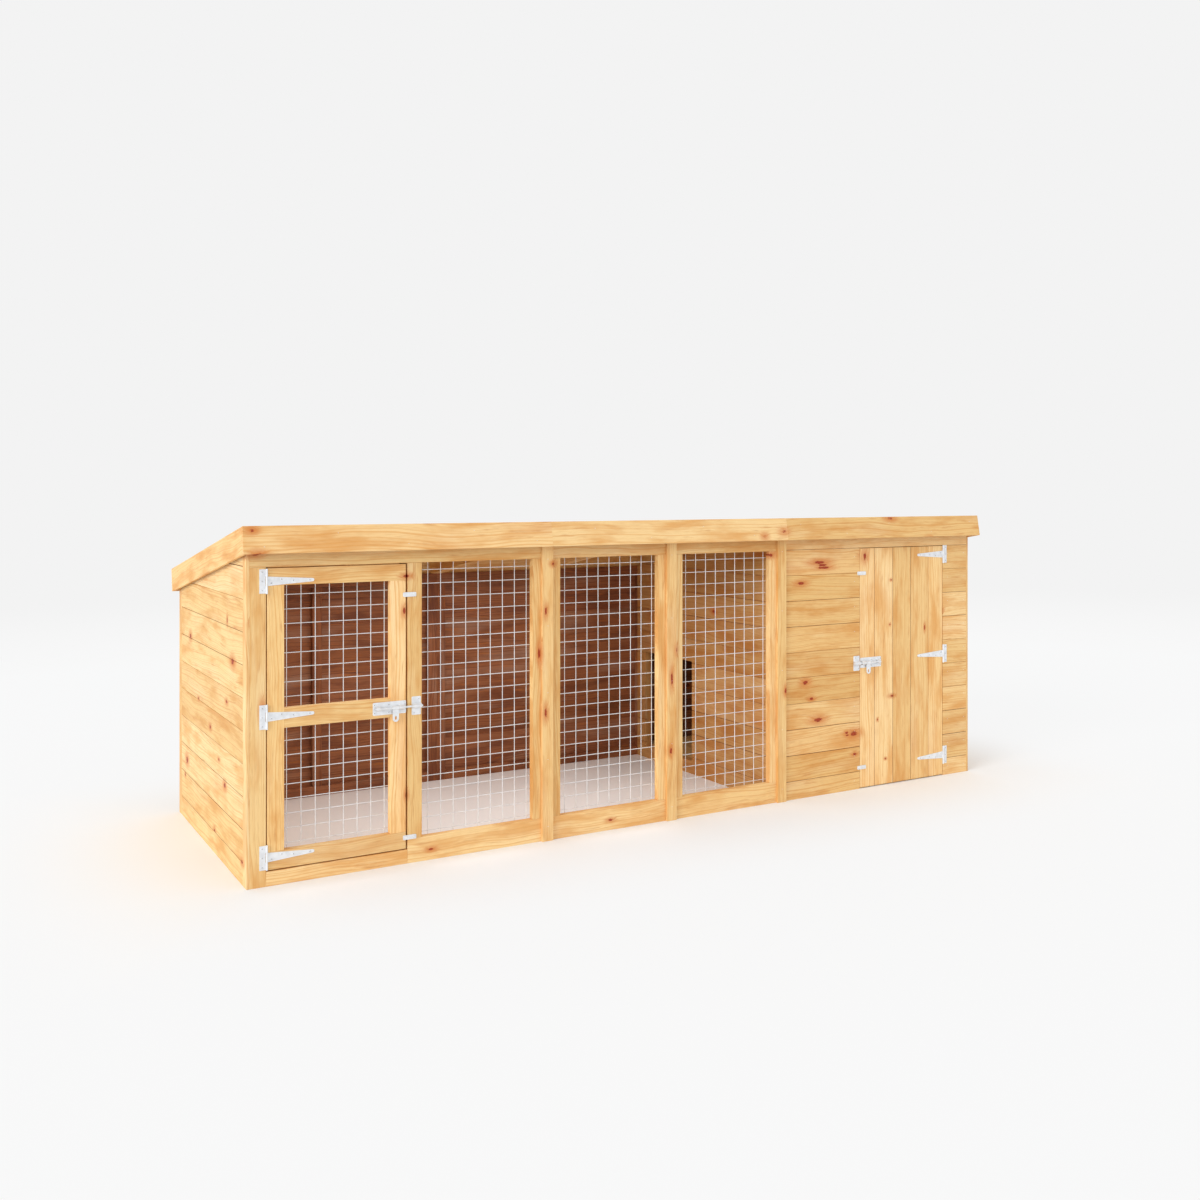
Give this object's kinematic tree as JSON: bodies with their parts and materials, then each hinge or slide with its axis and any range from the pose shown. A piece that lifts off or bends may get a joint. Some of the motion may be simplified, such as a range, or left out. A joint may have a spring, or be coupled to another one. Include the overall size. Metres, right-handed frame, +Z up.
{
  "type": "dog kennel and run",
  "caption": "Timber dog kennel with a covered mesh-fronted run beside it under one lean-to roof, each with a bolted, tee-hinged door.",
  "frame": {"origin": "on the ground, under the middle of the roof's outline", "axes": "+X along the front from the run to the kennel, +Y from the front to the back, +Z up"},
  "size_m": [3.646, 1.3178, 1.292],
  "materials": {
    "pine": "planed softwood, honey coloured",
    "osb": "strand board",
    "felt": "mineral roofing felt",
    "zinc": "bright zinc plate",
    "galvanised_mesh": "galvanised welded mesh"
  },
  "bodies": {
    "kennel_and_run": {"back_cover_strips": "pine", "back_fascia": "pine", "back_wall_boards_1": "pine", "back_wall_boards_2": "pine", "back_wall_boards_3": "pine", "back_wall_frame_1": "pine", "back_wall_frame_2": "pine", "back_wall_frame_3": "pine", "corner_trims": "pine", "front_cover_strips": "pine", "front_fascia": "pine", "kennel_bolt_keep": "zinc", "kennel_floor_bearers": "pine", "kennel_floor_boards": "pine", "kennel_front_boards_left": "pine", "kennel_front_boards_right": "pine", "kennel_front_frame": "pine", "kennel_head_board": "pine", "kennel_hinge_pins": "zinc", "kennel_hinge_plates": "zinc", "left_wall_boards": "pine", "left_wall_frame": "pine", "partition_boards": "pine", "partition_frame": "pine", "right_wall_boards": "pine", "right_wall_frame": "pine", "roof_blocks": "pine", "roof_felt_back": "felt", "roof_felt_front": "felt", "roof_rafters": "pine", "roof_sheets": "osb", "run_bolt_keep": "zinc", "run_door_stops": "pine", "run_front_frame_1": "pine", "run_front_frame_2": "pine", "run_front_frame_3": "pine", "run_hinge_pins": "zinc", "run_hinge_plates": "zinc", "run_mesh_1": "galvanised_mesh", "run_mesh_2": "galvanised_mesh", "run_mesh_3": "galvanised_mesh", "side_fascias": "pine", "turn_button_screws": "zinc"},
    "run_door": {"run_door_stiles": "pine", "run_door_rails": "pine", "run_door_mesh": "galvanised_mesh", "run_hinge_straps": "zinc", "run_bolt_plate": "zinc"},
    "kennel_door": {"kennel_door_boards": "pine", "kennel_door_ledges": "pine", "kennel_hinge_straps": "zinc", "kennel_bolt_plate": "zinc"},
    "run_bolt": {"run_bolt_rod": "zinc"},
    "kennel_bolt": {"kennel_bolt_rod": "zinc"},
    "run_handle": {"run_bolt_handle": "zinc"},
    "kennel_handle": {"kennel_bolt_handle": "zinc"},
    "run_button_top": {"run_button_top": "zinc"},
    "run_button_bottom": {"run_button_bottom": "zinc"},
    "kennel_button_top": {"kennel_button_top": "zinc"},
    "kennel_button_bottom": {"kennel_button_bottom": "zinc"}
  },
  "joints": [
    {"name": "run_door_swing", "type": "hinge", "parent": "kennel_and_run", "child": "run_door", "pos_m": [-1.728, -0.6052, 0.5975], "axis": [0, 0, -1], "range_deg": [0, 180]},
    {"name": "kennel_door_swing", "type": "hinge", "parent": "kennel_and_run", "child": "kennel_door", "pos_m": [1.62325, -0.6052, 0.5975], "axis": [0, 0, 1], "range_deg": [0, 180]},
    {"name": "run_bolt_draw", "type": "slide", "parent": "run_door", "child": "run_bolt", "axis": [-1, 0, 0], "range_m": [0, 0.047]},
    {"name": "kennel_bolt_draw", "type": "slide", "parent": "kennel_door", "child": "kennel_bolt", "axis": [1, 0, 0], "range_m": [0, 0.047]},
    {"name": "run_handle_turn", "type": "hinge", "parent": "run_bolt", "child": "run_handle", "pos_m": [-1.246, -0.6115, 0.5975], "axis": [-1, 0, 0], "range_deg": [-8, 180]},
    {"name": "kennel_handle_turn", "type": "hinge", "parent": "kennel_bolt", "child": "kennel_handle", "pos_m": [1.123, -0.6115, 0.5975], "axis": [-1, 0, 0], "range_deg": [-8, 180]},
    {"name": "run_button_top_turn", "type": "hinge", "parent": "kennel_and_run", "child": "run_button_top", "pos_m": [-1.1695, -0.6028, 1.022], "axis": [0, 1, 0], "range_deg": [-90, 90]},
    {"name": "run_button_bottom_turn", "type": "hinge", "parent": "kennel_and_run", "child": "run_button_bottom", "pos_m": [-1.1695, -0.6028, 0.1], "axis": [0, 1, 0], "range_deg": [-90, 90]},
    {"name": "kennel_button_top_turn", "type": "hinge", "parent": "kennel_and_run", "child": "kennel_button_top", "pos_m": [1.069, -0.6028, 1.024], "axis": [0, 1, 0], "range_deg": [-90, 90]},
    {"name": "kennel_button_bottom_turn", "type": "hinge", "parent": "kennel_and_run", "child": "kennel_button_bottom", "pos_m": [1.069, -0.6028, 0.101], "axis": [0, 1, 0], "range_deg": [-90, 90]}
  ]
}
